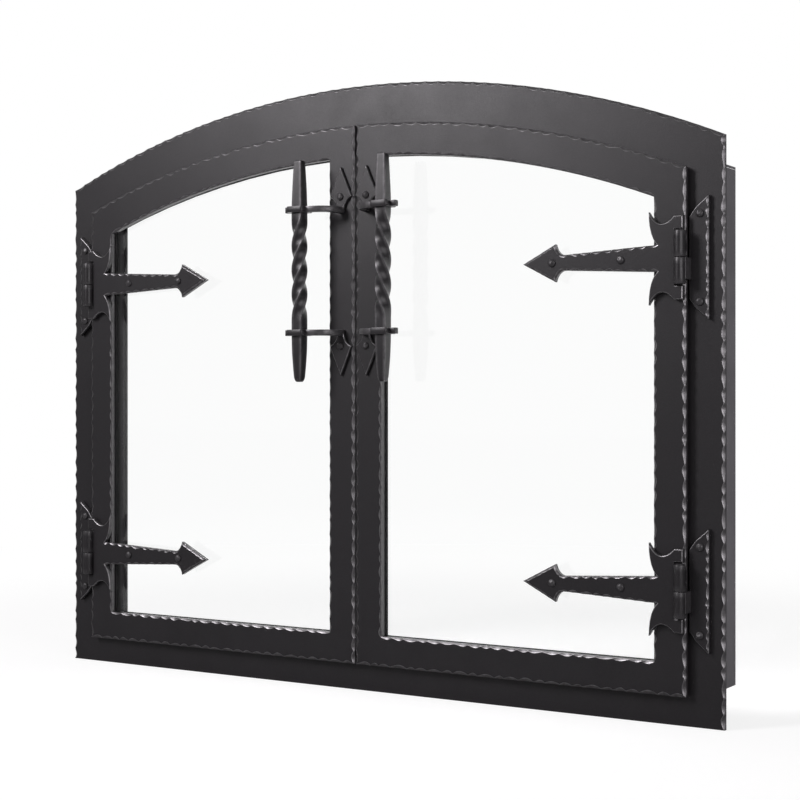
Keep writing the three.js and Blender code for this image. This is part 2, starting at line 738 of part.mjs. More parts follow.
// Handle bracket about the height of its eye: a spade that points up, a neck that bends forward into an arm,
// and a square eye that wraps the bar and ends in a short tail
function bracket() {
  const spadeBack = doorFront - seatGap;
  const spadeFront = spadeBack - spadeThickness;
  const bottom = -eyeHeight / 2;
  const waist = new THREE.QuadraticBezierCurve(
    new THREE.Vector2(spadeNeckHalfWidth, bottom),
    new THREE.Vector2(spadeNeckHalfWidth, spadeWidestDistance * spadeNeckShare),
    new THREE.Vector2(spadeHalfWidth, spadeWidestDistance),
  ).getPoints(4).map(({ x, y }) => [x, y, 'eased']);
  const rightSide = waist.map(([x, z, finish]) => [spadeInset + x, z, finish]);
  const leftSide = waist.map(([x, z], index) => [spadeInset - x, z, index === 0 ? 'plain' : 'eased']).reverse();
  const outline = [...rightSide, [spadeInset, spadeTipDistance, 'eased'], ...leftSide];
  const blank = bevelledPlate(polygonRing(outline), [], spadeFront, spadeBack);
  const spade = cut(blank, rivetHole(spadeInset, spadeWidestDistance, spadeFront, spadeBack));
  const eyeInner = handleBar / 2 + seatGap;
  const eyeOuter = eyeInner + eyeWall;
  const eye = planPlate(
    easedSquare(eyeOuter, eyeCornerEase), easedSquare(eyeInner, handleCornerEase), bottom, eyeHeight,
  );
  const tail = planPlate(
    easedRectangle(
      handleInset + eyeInner + cutMargin, handleInset + tailReach, handleY - armWidth / 2, handleY + armWidth / 2,
      tailEase,
    ),
    null, bottom, eyeHeight,
  );
  const armEnd = handleInset - eyeInner - eyeWall / 2;
  const path = new THREE.CubicBezierCurve(
    new THREE.Vector2(spadeInset, spadeBack - cutMargin),
    new THREE.Vector2(spadeInset, spadeBack - armBend),
    new THREE.Vector2(armEnd - armBend, handleY),
    new THREE.Vector2(armEnd, handleY),
  );
  const arm = planPlate(ribbon(path, 8, spadeNeckHalfWidth, armWidth / 2), null, bottom, eyeHeight);
  return joined(spade, arm, eye, tail);
}

// ---------------------------------------------------------------------------- assembly

const doorSet = new THREE.Group();

function place(parent, name, finish, geometry, height = 0) {
  const mesh = new THREE.Mesh(geometry, new THREE.MeshStandardMaterial(finishes[finish]));
  mesh.name = name;
  mesh.position.z = height;
  parent.add(mesh);
}

const sides = { left: (geometry) => mirrored(geometry, 'x'), right: (geometry) => geometry };

place(doorSet, 'faceplate', 'blackSteel', faceplate());
place(doorSet, 'liner_sill', 'linerSteel', linerSill());
place(doorSet, 'liner_arch', 'linerSteel', linerArch());
place(doorSet, 'catch_bracket', 'blackSteel', catchBracket());

for (const [side, own] of Object.entries(sides)) {
  place(doorSet, `liner_${side}`, 'linerSteel', own(linerSide()));
  place(doorSet, `catch_magnet_${side}`, 'magnet', own(catchMagnet()));
  place(doorSet, `${side}_door_frame`, 'blackSteel', own(doorFrame()));
  place(doorSet, `${side}_gasket`, 'gasket', own(gasket()));
  place(doorSet, `${side}_glass`, 'glass', own(glassPane()));
  place(doorSet, `${side}_glass_retainer`, 'blackSteel', own(retainer()));
  place(doorSet, `${side}_handle`, 'forgedSteel', own(handle()));

  for (const [level, height] of Object.entries(hingeHeights)) {
    const name = `${side}_${level}`;
    place(doorSet, `${name}_frame_leaf`, 'forgedSteel', own(frameLeaf()), height);
    place(doorSet, `${name}_hinge_pin`, 'forgedSteel', own(hingePin()), height);
    place(doorSet, `${name}_strap`, 'forgedSteel', own(strapLeaf(strapReach[side])), height);
    const frameRivetX = frameLeafOuter - frameRivetInset;
    for (const [end, direction] of Object.entries({ top: 1, bottom: -1 })) {
      const head = rivet(frameRivetX, direction * frameRivetHalfHeight, frameLeafFront, leafThickness);
      place(doorSet, `${name}_frame_rivet_${end}`, 'forgedSteel', own(head), height);
    }
    for (const [end, reach] of Object.entries(strapRivetReaches)) {
      const head = rivet(axisX - reach, 0, leafFront, leafThickness);
      place(doorSet, `${name}_strap_rivet_${end}`, 'forgedSteel', own(head), height);
    }
  }

  for (const [level, height] of Object.entries(eyeHeights)) {
    const upright = level === 'upper';
    const name = `${side}_${level}_bracket`;
    const turn = (geometry) => own(upright ? geometry : mirrored(geometry, 'z'));
    const head = rivet(spadeInset, spadeWidestDistance, doorFront - seatGap - spadeThickness, spadeThickness);
    place(doorSet, name, 'forgedSteel', turn(bracket()), height);
    place(doorSet, `${name}_rivet`, 'forgedSteel', turn(head), height);
  }
}

export default doorSet;
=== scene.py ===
"""Looks of the arched fireplace door set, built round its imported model.

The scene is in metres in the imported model's own frame: +X right, the room on the -Y side, +Z up. The sizes of
the shapes below are in millimetres. A few of them were read closer from the photograph than in the solids.
"""

import math
import random

import bpy
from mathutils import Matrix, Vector, noise
from mathutils.geometry import tessellate_polygon


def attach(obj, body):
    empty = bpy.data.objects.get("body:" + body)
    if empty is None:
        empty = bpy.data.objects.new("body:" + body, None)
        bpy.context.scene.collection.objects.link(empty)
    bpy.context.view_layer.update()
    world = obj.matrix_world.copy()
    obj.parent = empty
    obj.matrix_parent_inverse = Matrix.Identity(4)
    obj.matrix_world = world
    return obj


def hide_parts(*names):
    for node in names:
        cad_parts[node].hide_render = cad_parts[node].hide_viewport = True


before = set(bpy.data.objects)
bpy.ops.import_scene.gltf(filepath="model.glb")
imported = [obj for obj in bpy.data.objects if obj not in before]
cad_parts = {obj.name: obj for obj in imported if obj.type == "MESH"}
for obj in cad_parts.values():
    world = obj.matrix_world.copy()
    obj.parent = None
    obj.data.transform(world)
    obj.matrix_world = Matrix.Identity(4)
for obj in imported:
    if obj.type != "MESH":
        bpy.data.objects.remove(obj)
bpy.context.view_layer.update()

MM = 0.001

# ---------------------------------------------------------------------------- sizes of the model, millimetres

SEAT = 0.3
FACE_WIDTH, FACE_SIDE, FACE_RISE, FACE_THICK = 1109, 760, 116, 6.35
DOOR_LAP = 19
DOOR_MARGIN, DOOR_BOTTOM, DOOR_DROP, MEETING_GAP = 47.5, 39.3, 59, 3
STAND_OFF, DOOR_THICK = 4.5, 9.5
MEETING_STILE, HINGE_STILE, BOTTOM_RAIL, TOP_RAIL = 43, 43.8, 43, 46
LEAF_THICK = 7.94
BARREL_DIAMETER, BARREL_HEIGHT, BARREL_SPLIT = 15.8, 69, 0.4
PIN_DIAMETER, PIN_HEAD, PIN_HEAD_HEIGHT, PIN_EASE, PIN_HEAD_RIM = 8, 13, 0.9, 0.5, 0.5
AXIS_INSET, AXIS_FORWARD = 3.7, 10.2
HINGES = {"upper": 603.6, "lower": 176.3}
REACH = {"left": 237, "right": 227}
HORN, HORN_HALF, HORN_CURL = 44.3, 60.3, 12
DIP, DIP_HALF, DIP_FLOW = 26.3, 44.5, 9
SHOULDER, SHOULDER_HALF = 9, 54.2
OVERHANG, NOTCH_CLEAR = 3.0, 1
ROOT, ROOT_HALF, NECK_HALF = 32.6, 17.5, 10.4
SPEAR, SPEAR_NECK, BARB_HALF = 48.5, 13, 25.3
FLARE_SHARE, FLARE_SWELL = 0.75, 1.5
WEB_INTO_LEAF, WEB_INTO_BARREL, WEB_BEHIND_FRONT, WEB_BEFORE_BACK = 1, 2, 0.2, 1
STRAP_RIVETS = {"root": 83.3, "tip": 182.8}
FRAME_LEAF_INSET, FRAME_LEAF_WIDTH = 2.2, 26.3
FRAME_LEAF_HALF, FRAME_LEAF_TIP = 53, 79.8
FRAME_LEAF_BEND, FRAME_LEAF_BEND_HALF = 8.7, 65
FRAME_RIVET_HALF, FRAME_RIVET_INSET = 56.5, 11.5
TAB_THICK, TAB_HEIGHT, TAB_CLEAR, TAB_LEAD = 4, 28, 1, 1.5
RIVET_HEAD, RIVET_HIGH, RIVET_RIM, RIVET_SHANK_RADIUS = 11, 3.8, 0.35, 2.9
BAR, HANDLE_TOP, HANDLE_BOTTOM, HANDLE_INSET, HANDLE_FORWARD = 16.8, 766.5, 446.5, 71.5, 37
BAR_TOP_END, BAR_TOP_CURVE, BAR_BOTTOM_END, BAR_BOTTOM_CURVE = 12, 1.5, 10.8, 2
BAR_TIP, BAR_TIP_ROUND, BAR_EASE = 8, 2.6, 0.8
TWIST_QUARTERS, TWIST_RUN, TWIST_START, TWIST_EASE = 4, 158, 691, 0.12
EYES = {"upper": 695.5, "lower": 517.5}
EYE_WALL, EYE_HEIGHT, ARM_WIDTH, ARM_BEND, TAIL = 5.2, 8.8, 9, 24, 22.5
EYE_CORNER, BORE_CORNER, TAIL_CORNER, TAIL_THINNER, ARM_EASE = 3.2, 0.6, 0.9, 0.15, 0.9
SPADE_THICK, SPADE_HALF, SPADE_TIP, SPADE_WIDEST, SPADE_INSET = 5, 19, 62, 19, 22
SPADE_NECK, SPADE_NECK_SHARE = 5, 0.7

APEX = FACE_SIDE + FACE_RISE
RADIUS = ((FACE_WIDTH / 2) ** 2 + FACE_RISE ** 2) / (2 * FACE_RISE)
FACE_BACK = FACE_THICK / 2
FACE_FRONT = -FACE_BACK
DOOR_BACK = FACE_FRONT - STAND_OFF
DOOR_FRONT = DOOR_BACK - DOOR_THICK
DOOR_OUTER = FACE_WIDTH / 2 - DOOR_MARGIN
DOOR_INNER = MEETING_GAP / 2
LEAF_BACK = DOOR_FRONT - SEAT
LEAF_FRONT = LEAF_BACK - LEAF_THICK
AXIS_X = DOOR_OUTER - AXIS_INSET
AXIS_Y = DOOR_FRONT - AXIS_FORWARD
HANDLE_Y = DOOR_FRONT - HANDLE_FORWARD
FRAME_LEAF_IN = DOOR_OUTER + FRAME_LEAF_INSET
FRAME_LEAF_OUT = FRAME_LEAF_IN + FRAME_LEAF_WIDTH
FRAME_LEAF_BACK = FACE_FRONT - SEAT
FRAME_LEAF_FRONT = FRAME_LEAF_BACK - LEAF_THICK

# Spacing of the points along a side: of hammered plates, forged pieces, plain lines and plain arches
PLATE_STEP, FORGED_STEP, LINE_STEP, ARCH_STEP = 1.7, 1.5, 60, 20
ARCH_PIECES = 60


def arch(x, drop, inset=0):
    return APEX - drop - RADIUS + math.sqrt((RADIUS - inset) ** 2 - x ** 2)


# ---------------------------------------------------------------------------- materials

LINER_MIDDLE = 0.5315  # metres from the set's middle to the middle of the side sheets' thickness


def new_material(name):
    material = bpy.data.materials.new(name)
    material.use_nodes = True
    return material, material.node_tree


def feed(tree, node, inputs):
    """Sets a node's inputs to constants, or links them where another node's output is given."""
    for name, value in inputs.items():
        if isinstance(value, bpy.types.NodeSocket):
            tree.links.new(value, node.inputs[name])
        else:
            node.inputs[name].default_value = value
    return node


def object_place(tree):
    return tree.nodes.new("ShaderNodeTexCoord").outputs["Object"]


def noise_field(tree, place, scale, detail, rough=0.55):
    node = tree.nodes.new("ShaderNodeTexNoise")
    feed(tree, node, {"Scale": scale, "Detail": detail, "Roughness": rough, "Vector": place})
    return node.outputs["Fac"]


def ramp(tree, value, stops):
    node = tree.nodes.new("ShaderNodeValToRGB")
    while len(node.color_ramp.elements) < len(stops):
        node.color_ramp.elements.new(0.5)
    for element, (place, shade) in zip(node.color_ramp.elements, stops):
        element.position = place
        element.color = (*shade, 1) if isinstance(shade, tuple) else (shade, shade, shade, 1)
    return feed(tree, node, {"Fac": value}).outputs["Color"]


def calculate(tree, operation, *values):
    node = tree.nodes.new("ShaderNodeMath")
    node.operation = operation
    return feed(tree, node, dict(enumerate(values)))


def spread(tree, value, low, high, start=0.0, end=1.0, interpolation="LINEAR"):
    """A value from start to end, spread over low to high."""
    node = tree.nodes.new("ShaderNodeMapRange")
    node.interpolation_type = interpolation
    feed(tree, node, {"From Min": start, "From Max": end, "To Min": low, "To Max": high, "Value": value})
    return node.outputs["Result"]


def blend(tree, data_type, factor, first, second):
    node = tree.nodes.new("ShaderNodeMix")
    node.data_type = data_type
    return feed(tree, node, {"Factor": factor, "A": first, "B": second}).outputs["Result"]


def blend_shaders(tree, factor, first, second):
    node = tree.nodes.new("ShaderNodeMixShader")
    return feed(tree, node, {"Fac": factor, 1: first, 2: second}).outputs["Shader"]


def bump(tree, height, strength, distance):
    node = tree.nodes.new("ShaderNodeBump")
    return feed(tree, node, {"Strength": strength, "Distance": distance, "Height": height}).outputs["Normal"]


def bare_steel(name, roughness, grain):
    """Steel without its colour: the material, its coordinates, its mixed noise and the per-vertex burnish with
    its painted highlight.
    """
    material, tree = new_material(name)
    place = object_place(tree)
    clouds = noise_field(tree, place, 14, 5)
    grains = noise_field(tree, place, 420, 4, 0.7)
    pits = noise_field(tree, place, 1300, 3, 0.6)
    mixed = blend(tree, "FLOAT", grain, clouds, grains)
    attribute = tree.nodes.new("ShaderNodeAttribute")
    attribute.attribute_name = "burnish_and_highlight"
    burnish_and_highlight = attribute.outputs["Fac"]
    metal = calculate(tree, "MULTIPLY", burnish_and_highlight, 1.7)
    metal.use_clamp = True
    height = calculate(tree, "MULTIPLY_ADD", pits, 0.6, grains).outputs["Value"]
    feed(tree, tree.nodes["Principled BSDF"], {
        "Roughness": spread(tree, mixed, roughness + 0.08, roughness - 0.08, 0.3, 0.7),
        "Metallic": metal.outputs["Value"],
        "Normal": bump(tree, height, 0.35, 0.0003),
    })
    return material, place, mixed, burnish_and_highlight


def steel(name, dark, light, burnish_and_highlight_tone, roughness, grain=0.5):
    """Satin black steel: cloudy scale, fine grain, and a lighter burnished tone where the per-vertex value is
    high, partly real burnish and partly painted highlight.
    """
    material, place, mixed, burnish_and_highlight = bare_steel(name, roughness, grain)
    tree = material.node_tree
    # Edges are lighter where the per-vertex value is high: partly real burnish, partly a painted highlight.
    patches = spread(tree, noise_field(tree, place, 160, 3), 0.5, 1.0, 0.3, 0.7)
    burnish_and_highlight_mask = calculate(tree, "MULTIPLY", burnish_and_highlight, patches).outputs["Value"]
    tone = ramp(tree, mixed, [(0.34, dark), (0.66, light)])
    feed(tree, tree.nodes["Principled BSDF"], {"Base Color": blend(tree, "RGBA", burnish_and_highlight_mask, tone, (*burnish_and_highlight_tone, 1))})
    return material


def scaled(shade, share):
    return tuple(share * v for v in shade)


def sheet(name, shaded_inside, outside, half_width):
    """Liner sheet: dull, darker on the fire's side as painted shade, and paler beyond a distance from the
    middle of the set.
    """
    material, place, _, _ = bare_steel(name, 0.5, 0.5)
    tree = material.node_tree
    parts = feed(tree, tree.nodes.new("ShaderNodeSeparateXYZ"), {"Vector": place})
    away = calculate(tree, "ABSOLUTE", parts.outputs["X"]).outputs["Value"]
    beyond = calculate(tree, "GREATER_THAN", away, half_width).outputs["Value"]
    mottle = noise_field(tree, place, 9, 5)
    outer_tone = ramp(tree, mottle, [(0.35, scaled(outside, 0.85)), (0.65, scaled(outside, 1.15))])
    # Painted shade: the fire's side of the sheets is darkened well below their outside.
    shaded_inner_tone = ramp(tree, mottle, [(0.35, scaled(shaded_inside, 0.75)), (0.65, scaled(shaded_inside, 1.25))])
    feed(tree, tree.nodes["Principled BSDF"], {"Base Color": blend(tree, "RGBA", beyond, shaded_inner_tone, outer_tone)})
    return material


def clear_glass(name):
    """Clear pane with a faint film and slight waves, which lets the light through to what is behind it."""
    material, tree = new_material(name)
    place = object_place(tree)
    shader = feed(tree, tree.nodes["Principled BSDF"], {
        "Base Color": (0.996, 1, 0.998, 1),
        "Transmission Weight": 1,
        "IOR": 1.46,
        "Roughness": spread(tree, noise_field(tree, place, 5, 4), 0.0, 0.03),
        "Normal": bump(tree, noise_field(tree, place, 9, 2), 0.04, 0.0005),
    })
    through = feed(tree, tree.nodes.new("ShaderNodeBsdfTransparent"), {"Color": (0.985, 0.99, 0.987, 1)})
    shadow = tree.nodes.new("ShaderNodeLightPath").outputs["Is Shadow Ray"]
    surface = blend_shaders(tree, shadow, shader.outputs["BSDF"], through.outputs["BSDF"])
    feed(tree, tree.nodes["Material Output"], {"Surface": surface})
    return material


def woven_tape(name):
    material, tree = new_material(name)
    weave = feed(tree, tree.nodes.new("ShaderNodeTexVoronoi"), {"Scale": 900, "Vector": object_place(tree)})
    threads = weave.outputs["Distance"]
    feed(tree, tree.nodes["Principled BSDF"], {
        "Base Color": ramp(tree, threads, [(0.1, 0.012), (0.7, 0.03)]),
        "Roughness": 0.95,
        "Normal": bump(tree, threads, 0.6, 0.0004),
    })
    return material


# The third colour of each steel is its burnished tone, lighter partly as a painted highlight.
plate_steel = steel("black_steel", (0.0115, 0.0103, 0.0117), (0.021, 0.019, 0.0215), (0.42, 0.41, 0.42), 0.37)
forged_steel = steel(
    "forged_steel", (0.011, 0.0098, 0.0112), (0.022, 0.0198, 0.0225), (0.44, 0.43, 0.44), 0.35, 0.6,
)
sheet_steel = sheet("liner_steel", (0.045, 0.043, 0.046), (0.2, 0.192, 0.205), LINER_MIDDLE)
hidden_steel = steel("retainer_steel", 0.012, 0.02, (0.2, 0.2, 0.2), 0.6)
magnet_case = steel("magnet_case", 0.01, 0.018, (0.1, 0.1, 0.1), 0.6)
glass = clear_glass("clear_glass")
gasket = woven_tape("gasket_tape")


# ---------------------------------------------------------------------------- meshes

NO_LENGTH = 1e-9
NO_AREA = 1e-9


class Builder:
    """Collects closed shells into one mesh, with sharp edges and, for each vertex, its burnish with a painted
    highlight.
    """

    def __init__(self):
        self.verts, self.faces, self.sharp, self.burnish_and_highlight = [], [], [], []

    def add(self, verts, faces, sharp, burnish_and_highlight):
        start = len(self.verts)
        self.verts += [tuple(v) for v in verts]
        self.faces += [tuple(i + start for i in face) for face in faces]
        self.sharp += [(a + start, b + start) for a, b in sharp]
        self.burnish_and_highlight += burnish_and_highlight

    def place(self, side, height=0, flip=1):
        """Lifts the shells, upside down where flip is -1, and mirrors them for the left door."""
        across = -1 if side == "left" else 1
        self.verts = [(x * across, y, z * flip + height) for x, y, z in self.verts]
        if across * flip < 0:
            self.faces = [tuple(reversed(face)) for face in self.faces]


def make_object(name, built, material, body, replaced):
    mesh = bpy.data.meshes.new(name)
    mesh.from_pydata([Vector(v) * MM for v in built.verts], [], built.faces)
    mesh.validate()
    mesh.shade_smooth()
    wanted = {tuple(sorted(pair)) for pair in built.sharp}
    for edge in mesh.edges:
        if tuple(sorted(edge.vertices)) in wanted:
            edge.use_edge_sharp = True
    mesh.attributes.new("burnish_and_highlight", "FLOAT", "POINT").data.foreach_set("value", built.burnish_and_highlight)
    mesh.materials.append(material)
    obj = bpy.data.objects.new(name, mesh)
    bpy.context.scene.collection.objects.link(obj)
    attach(obj, body)
    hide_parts(replaced)


def seed_of(text):
    return sum((index + 1) * ord(letter) for index, letter in enumerate(text))


def across_of(along):
    """The normal on the left of a direction in the plane."""
    return Vector((-along.y, along.x))


def bezier(points, count):
    """Points on a quadratic or cubic curve."""
    out = []
    for index in range(count + 1):
        t = index / count
        level = [Vector(p) for p in points]
        while len(level) > 1:
            level = [a.lerp(b, t) for a, b in zip(level, level[1:])]
        out.append((level[0].x, level[0].y))
    return out


def crisp(verts, faces, degrees):
    """Edges whose two faces turn by more than an angle."""
    normals = []
    users = {}
    for number, face in enumerate(faces):
        points = [Vector(verts[i]) for i in face]
        normal = Vector((0, 0, 0))
        for a, b in zip(points, points[1:] + points[:1]):
            normal += Vector((
                (a.y - b.y) * (a.z + b.z), (a.z - b.z) * (a.x + b.x), (a.x - b.x) * (a.y + b.y),
            ))
        normals.append(normal.normalized() if normal.length > 0 else Vector((0, 0, 1)))
        for a, b in zip(face, face[1:] + face[:1]):
            users.setdefault(tuple(sorted((a, b))), []).append(number)
    limit = math.cos(math.radians(degrees))
    return [
        edge for edge, pair in users.items()
        if len(pair) == 2 and normals[pair[0]].dot(normals[pair[1]]) < limit
    ]


def ring_edges(counts, layer):
    """Edges of each ring in one layer of stacked rings, ring by ring."""
    start = layer * sum(counts)
    rings = []
    for number in counts:
        rings.append([(start + step, start + (step + 1) % number) for step in range(number)])
        start += number
    return rings


def walls(counts, layers):
    """Faces between stacked layers of rings: the first ring is the outline and the others are holes."""
    total = sum(counts)
    faces = []
    for layer in range(layers - 1):
        for ring, edges in enumerate(ring_edges(counts, layer)):
            for a, b in edges:
                face = (a, a + total, b + total, b)
                faces.append(face if ring == 0 else tuple(reversed(face)))
    return faces


def cap(flat, counts, start, turned):
    """Triangles over the rings of one layer, given by its points in the plane and the index of its first."""
    loops = []
    offset = 0
    for number in counts:
        loops.append([Vector((*point, 0)) for point in flat[offset:offset + number]])
        offset += number
    faces = []
    for a, b, c in tessellate_polygon(loops):
        pa, pb, pc = flat[a], flat[b], flat[c]
        area = (pb[0] - pa[0]) * (pc[1] - pa[1]) - (pb[1] - pa[1]) * (pc[0] - pa[0])
        if abs(area) < NO_AREA:
            continue
        if (area > 0) == turned:
            b, c = c, b
        faces.append((a + start, b + start, c + start))
    return faces


def lathe(profile, segments, centre, wobble=0.0, seed=0):
    """Closed body of revolution about a vertical axis from a profile of (radius, height) that ends on the
    axis or closes on itself. The wobble makes it a little uneven."""
    closed = profile[0] == profile[-1]
    verts, faces, rows = [], [], []
    for radius, height in profile[:-1] if closed else profile:
        if radius < NO_LENGTH:
            rows.append([len(verts)])
            verts.append((centre[0], centre[1], centre[2] + height))
            continue
        row = []
        for segment in range(segments):
            angle = 2 * math.pi * segment / segments
            direction = Vector((math.cos(angle), math.sin(angle), 0))
            grow = wobble * noise.noise(direction * 1.7 + Vector((seed, height * 0.6, 0)))
            row.append(len(verts))
            verts.append((
                centre[0] + direction.x * (radius + grow), centre[1] + direction.y * (radius + grow),
                centre[2] + height,
            ))
        rows.append(row)
    pairs = list(zip(rows, rows[1:])) + ([(rows[-1], rows[0])] if closed else [])
    for low, high in pairs:
        for segment in range(segments):
            following = (segment + 1) % segments
            if len(low) == 1:
                faces.append((low[0], high[following], high[segment]))
            elif len(high) == 1:
                faces.append((low[segment], low[following], high[0]))
            else:
                faces.append((low[segment], low[following], high[following], high[segment]))
    return verts, faces


def dome(radius, rim, rise, steps):
    """Profile of a domed head from its rim up to the axis."""
    angles = [math.pi / 2 * step / steps for step in range(1, steps)]
    return [(radius * math.cos(a), rim + rise * math.sin(a)) for a in angles] + [(0, rim + rise)]


# ---------------------------------------------------------------------------- plates with finished edges

# Finish of an edge: bevel narrow and wide, dent, pitch of the blows, slope; in millimetres but for the slope
FINISH = {
    "plain": (0.25, 0.25, 0, 0, 0.8),
    "eased": (1.6, 1.6, 0.12, 9, 1.0),
    "bevelled": (2.8, 3.4, 0.15, 12, 0.7),
    "hammered": (1.5, 5.0, 0.18, 20, 0.6),
    "chased": (0.8, 3.8, 0.12, 20, 0.42),
    "dressed": (0.8, 3.5, 0.15, 15, 0.6),
}
# How much the blows differ: drift of their limits as a share of the pitch, size, depth and skew
BLOW_DRIFT, BLOW_SIZE, BLOW_DEPTH, BLOW_SKEW = 0.2, (0.65, 1.15), (0.4, 1.2), (0.65, 1.5)
RIM_DEPTH = 0.15

# Layers of a plate's edge from its front face to the end of the bevel: (share of the bevel's width, share of
# its depth, burnish and painted highlight). Hammered bevels are cut, with a burnished crest lit by a painted
# highlight, and eased edges are rounded. Two more layers ease the back edge.
CUT = [(1.0, 0.0, 0.0), (0.93, 0.03, 1.0), (0.80, 0.13, 0.75), (0.35, 0.62, 0.32), (0.0, 1.0, 0.4)]
ROUND = [(1.0, 0.0, 0.0), (0.72, 0.06, 1.0), (0.42, 0.25, 0.9), (0.15, 0.58, 0.5), (0.0, 1.0, 0.2)]
EDGE_LAYERS = len(CUT)
PLATE_LAYERS = EDGE_LAYERS + 2
BACK_DENT, BACK_EASE = 0.4, 0.35
# Bevels narrower than this get less of the burnish and its painted highlight.
FULL_BURNISH_HIGHLIGHT_WIDTH = 0.9
NEARLY_STRAIGHT = 0.12


class Side:
    """One side of an outline: a polyline with a finish, which can be read a little past its ends."""

    def __init__(self, points, finish, rng, step):
        self.points = [Vector((x, z)) for x, z in points]
        self.at_lengths = [0.0]
        for a, b in zip(self.points, self.points[1:]):
            self.at_lengths.append(self.at_lengths[-1] + (b - a).length)
        self.length = self.at_lengths[-1]
        self.count = max(2, round(self.length / step))
        self.narrow, self.wide, self.dent, pitch, self.slope = FINISH[finish]
        self.layers = ROUND if finish in ("plain", "eased") else CUT
        self.blows = []
        if pitch:
            number = max(1, round(self.length / pitch))
            drifting = [(index + rng.uniform(-BLOW_DRIFT, BLOW_DRIFT)) / number for index in range(1, number)]
            limits = [0.0, *drifting, 1.0]
            for low, high in zip(limits, limits[1:]):
                size, deep, skew = rng.uniform(*BLOW_SIZE), rng.uniform(*BLOW_DEPTH), rng.uniform(*BLOW_SKEW)
                self.blows.append((low, high, size, deep, skew))

    def tangent(self, end):
        pair = self.points[:2] if end == 0 else self.points[-2:]
        return (pair[1] - pair[0]).normalized()

    def at(self, s):
        """Point and inward normal at a length along the side."""
        index = 0
        while index < len(self.points) - 2 and s > self.at_lengths[index + 1]:
            index += 1
        along = (self.points[index + 1] - self.points[index]).normalized()
        return self.points[index] + along * (s - self.at_lengths[index]), across_of(along)

    def edge(self, t):
        """Bevel width, dent and rim depth at a share of the side's length."""
        if not self.blows:
            return self.narrow, 0.0, self.narrow * self.slope
        low, high, size, deep, skew = next(blow for blow in self.blows if blow[0] <= t <= blow[1])
        swell = math.sin(math.pi * ((t - low) / (high - low)) ** skew)
        width = self.narrow + (self.wide - self.narrow) * swell * size
        return width, self.dent * swell * deep, RIM_DEPTH + width * self.slope

    def layer_at(self, t, layer, front, back):
        """Inset, position between front and back, and burnish with its painted highlight, of one layer at a
        share of the length.
        """
        width, dent, depth = self.edge(t)
        if layer < EDGE_LAYERS:
            across, down, burnish_and_highlight = self.layers[layer]
            return dent + width * across, front + depth * down, burnish_and_highlight * min(1.0, width / FULL_BURNISH_HIGHLIGHT_WIDTH)
        if layer == EDGE_LAYERS:
            return dent * BACK_DENT, back - BACK_EASE, 0.0
        return dent * BACK_DENT + BACK_EASE, back, 0.0


def corner_shift(before, after, inset_before, inset_after):
    """How far along the side after the corner, and along the side before it, the inset corner lies."""
    ta, tb = before.tangent(1), after.tangent(0)
    na, nb = across_of(ta), across_of(tb)
    if abs(tb.dot(na)) < NEARLY_STRAIGHT:
        return 0.0, 0.0
    shift_after = (inset_before - inset_after * nb.dot(na)) / tb.dot(na)
    shift_before = (inset_after - inset_before * na.dot(nb)) / ta.dot(nb)
    return shift_after, shift_before


def plate(outer, holes, front, back):
    """Plate with finished front edges, from the sides of its outline and of its holes in order round each."""
    rings = [(outer, 1)] + [(hole, -1) for hole in holes]
    counts = [sum(side.count for side in sides) for sides, _ in rings]
    total = sum(counts)
    verts, burnish_and_highlight = [], []
    for layer in range(PLATE_LAYERS):
        for sides, way in rings:
            for index, side in enumerate(sides):
                before, after = sides[index - 1], sides[(index + 1) % len(sides)]
                insets = [
                    which.layer_at(t, layer, front, back)[0] * way
                    for which, t in ((before, 1), (side, 0), (side, 1), (after, 0))
                ]
                start = corner_shift(before, side, insets[0], insets[1])[0]
                end = corner_shift(side, after, insets[2], insets[3])[1]
                for step in range(side.count):
                    t = step / side.count
                    inset, y, amount = side.layer_at(t, layer, front, back)
                    point, normal = side.at(start + (side.length + end - start) * t)
                    place = point + normal * (inset * way)
                    verts.append((place.x, y, place.y))
                    burnish_and_highlight.append(amount)
    faces = walls(counts, PLATE_LAYERS)
    for layer, turned in ((0, False), (PLATE_LAYERS - 1, True)):
        start = layer * total
        faces += cap([(x, z) for x, _, z in verts[start:start + total]], counts, start, turned)
    sharp = []
    for layer in (0, EDGE_LAYERS - 1, PLATE_LAYERS - 1):
        sharp += [edge for edges in ring_edges(counts, layer) for edge in edges]
    built = Builder()
    built.add(verts, faces, sharp, burnish_and_highlight)
    return built


def arched_sides(left, right, bottom, drop, inset, finish, rng):
    """Bottom, right, top and left sides of an arched outline, anticlockwise from the front."""
    curve = []
    for index in range(ARCH_PIECES + 1):
        x = right + (left - right) * index / ARCH_PIECES
        curve.append((x, arch(x, drop, inset)))
    lines = (
        ([(left, bottom), (right, bottom)], LINE_STEP),
        ([(right, bottom), (right, arch(right, drop, inset))], LINE_STEP),
        (curve, ARCH_STEP),
        ([(left, arch(left, drop, inset)), (left, bottom)], LINE_STEP),
    )
    return [
        Side(points, kind, rng, plain_step if kind == "plain" else PLATE_STEP)
        for (points, plain_step), kind in zip(lines, finish)
    ]


# ---------------------------------------------------------------------------- faceplate and doors

def build_faceplate():
    rng = random.Random(11)
    outer = arched_sides(-FACE_WIDTH / 2, FACE_WIDTH / 2, 0, 0, 0, ("plain",) + ("hammered",) * 3, rng)
    inner = arched_sides(
        -DOOR_OUTER + DOOR_LAP, DOOR_OUTER - DOOR_LAP, DOOR_BOTTOM + DOOR_LAP, DOOR_DROP, DOOR_LAP,
        ("plain",) * 4, rng,
    )
    built = plate(outer, [inner], FACE_FRONT, FACE_BACK)
    make_object("faceplate_hammered", built, plate_steel, "frame", "faceplate")


